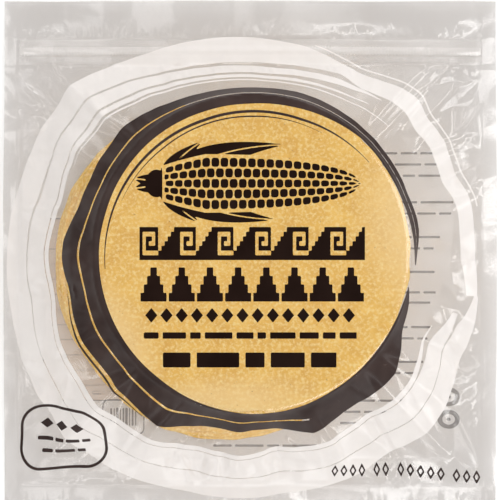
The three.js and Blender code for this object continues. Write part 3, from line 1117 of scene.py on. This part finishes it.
def make_back_print(film, spread):
    beige = back_ink_material("beige_back_ink", (0.74, 0.58, 0.45), (0.80, 0.66, 0.52), 0.42)
    faint = back_ink_material("grey_back_ink", (0.10, 0.09, 0.085), (0.2, 0.18, 0.17), 0.8)
    panel = field_shape(panel_fill, -103, -48, -74, 19)
    shapes = [field_shape(panel_lines, -103, -48, -74, 19),
              field_shape(side_rows, -20, 110, -98, 52),
              field_shape(striped_mark, -74, -50, -90, -70)]
    lay_print(film, spread, "back_panel_fill", [panel], beige, on_back=True)
    lay_print(film, spread, "back_print", shapes, faint, on_back=True)


# Floor, light and camera

FLOOR_SIZE = 3000
HIGH = 1.7  # the level of the high lights, in metres
STANDING_DISTANCE = 1.7
STANDING_LEVEL = 0.55
STANDING_SIZE = (0.22, 0.9)
SOFTBOXES = [  # softboxes and strips with gaps between them for the film to mirror: place, size, watts
    ("strip_left", -1.35, 0.25, 1.2, 0.25, 1.0, 0.6),
    ("strip_right", 1.35, 0.15, 1.2, 0.25, 1.0, 2.4),
    ("strip_far", 0.1, 1.5, 1.0, 1.2, 0.25, 1.6),
    ("strip_near", -0.1, -1.45, 1.1, 1.2, 0.25, 2.2),
    ("softbox_high_left", -0.56, 0.22, HIGH, 0.28, 0.7, 1.4),
    ("softbox_high_right", 0.72, 0.15, HIGH, 0.40, 0.9, 4.2),
    ("softbox_high_near_right", 0.48, -0.64, HIGH, 0.7, 0.36, 3.4),
    ("softbox_high_near_left", -0.45, -0.60, HIGH, 0.5, 0.24, 0.8),
    ("softbox_high_far_left", -0.62, 1.05, HIGH, 0.40, 0.7, 1.2),
    ("softbox_high_far", 0.45, 1.15, HIGH, 0.5, 0.4, 0.5),
]
HIGH_PANELS = [  # side, size, and then the place and the watts of each
    ("far", (0.35, 0.8), [(-1.05, 1.9, 1.5), (-0.30, 2.0, 1.5), (0.45, 1.95, 1.5), (1.15, 1.8, 1.5)]),
    ("left", (0.4, 0.4), [(-1.15, -0.40, 0.4), (-1.20, -1.15, 0.5)]),
    ("right", (0.4, 0.4), [(1.25, 1.0, 0.9), (1.30, -0.75, 0.9)]),
    ("near", (0.4, 0.4), [(-0.45, -1.25, 0.8), (0.35, -1.35, 0.9)]),
]
STANDING_PANELS = [  # upright, for the steep film beside the stack to mirror: direction in degrees, watts
    (10, 2.8), (42, 2.8), (68, 2.4), (92, 2.0), (113, 2.0), (138, 1.3), (160, 0.9), (185, 0.9),
    (214, 1.6), (247, 2.2), (272, 2.4), (305, 2.8), (338, 2.8)]


def make_floor():
    material, tree, output = new_material("pale_floor")
    plain = add_node(tree, "ShaderNodeBsdfDiffuse", {"Color": (0.96, 0.96, 0.96, 1)})
    tree.links.new(plain.outputs[0], output.inputs["Surface"])
    size = FLOOR_SIZE
    floor = make_object("floor", [(-size, -size, 0), (size, -size, 0), (size, size, 0), (-size, size, 0)],
                        [[0, 1, 2, 3]], material, smooth_shaded=False)


def make_world():
    world = bpy.data.worlds.new("studio")
    bpy.context.scene.world = world
    world.use_nodes = True
    background = world.node_tree.nodes["Background"]
    background.inputs["Color"].default_value = (1, 0.985, 0.97, 1)
    background.inputs["Strength"].default_value = 0.456


def make_light(name, place, size, power):
    """A rectangular light that faces the bag."""
    data = bpy.data.lights.new(name, "AREA")
    data.shape = "RECTANGLE"
    data.size, data.size_y = size
    data.energy = power
    light = bpy.data.objects.new(name, data)
    bpy.context.scene.collection.objects.link(light)
    light.location = place
    light.rotation_euler = (-Vector(place)).to_track_quat("-Z", "Y").to_euler()


def make_lights():
    for name, x, y, z, width, length, power in SOFTBOXES:
        make_light(name, (x, y, z), (width, length), power)
    for side, size, panels in HIGH_PANELS:
        for number, (x, y, power) in enumerate(panels):
            make_light(f"panel_{side}_{number + 1}", (x, y, HIGH), size, power)
    for number, (degrees, power) in enumerate(STANDING_PANELS):
        turn = math.radians(degrees)
        place = (STANDING_DISTANCE * math.cos(turn), STANDING_DISTANCE * math.sin(turn), STANDING_LEVEL)
        make_light(f"standing_panel_{number + 1}", place, STANDING_SIZE, power)


# Where the bag lies in the photo, which is 500 pixels across
PHOTO_SIZE = 500
BAG_LEFT_PX = 3.3
BAG_RIGHT_PX = 496.9
BAG_MIDDLE_Y_PX = 253.5
CAMERA_HEIGHT = 1.15
EDGE_HEIGHT = 0.008  # the level at which the bag's edges fill the frame
SENSOR_WIDTH = 36


def make_camera():
    """A camera straight above, a little off the bag's middle as in the photo."""
    pixel = 2 * HALF_X * MM / (BAG_RIGHT_PX - BAG_LEFT_PX)
    data = bpy.data.cameras.new("camera")
    data.sensor_width = SENSOR_WIDTH
    data.lens = SENSOR_WIDTH * (CAMERA_HEIGHT - EDGE_HEIGHT) / (PHOTO_SIZE * pixel)
    data.clip_start = 0.05
    camera = bpy.data.objects.new("camera", data)
    bpy.context.scene.collection.objects.link(camera)
    camera.location = ((PHOTO_SIZE / 2 - (BAG_LEFT_PX + BAG_RIGHT_PX) / 2) * pixel,
                       (BAG_MIDDLE_Y_PX - PHOTO_SIZE / 2) * pixel, CAMERA_HEIGHT)
    bpy.context.scene.camera = camera


# Build

stack = plan_stack()
film = shape_film(stack)
spread = Spread(film)
film_sheet(film, film.front, "film_front", film_material("film_front", (0.888, 0.877, 0.871), 0.10))
film_sheet(film, film.back, "film_back", film_material("film_back", (0.854, 0.843, 0.834), 0.06))
make_stack(stack)
make_zip(film)
make_front_print(film, spread)
make_back_print(film, spread)

make_floor()
make_world()
make_lights()
make_camera()
scene = bpy.context.scene
scene.view_settings.view_transform = "Standard"
scene.cycles.transparent_max_bounces = 24
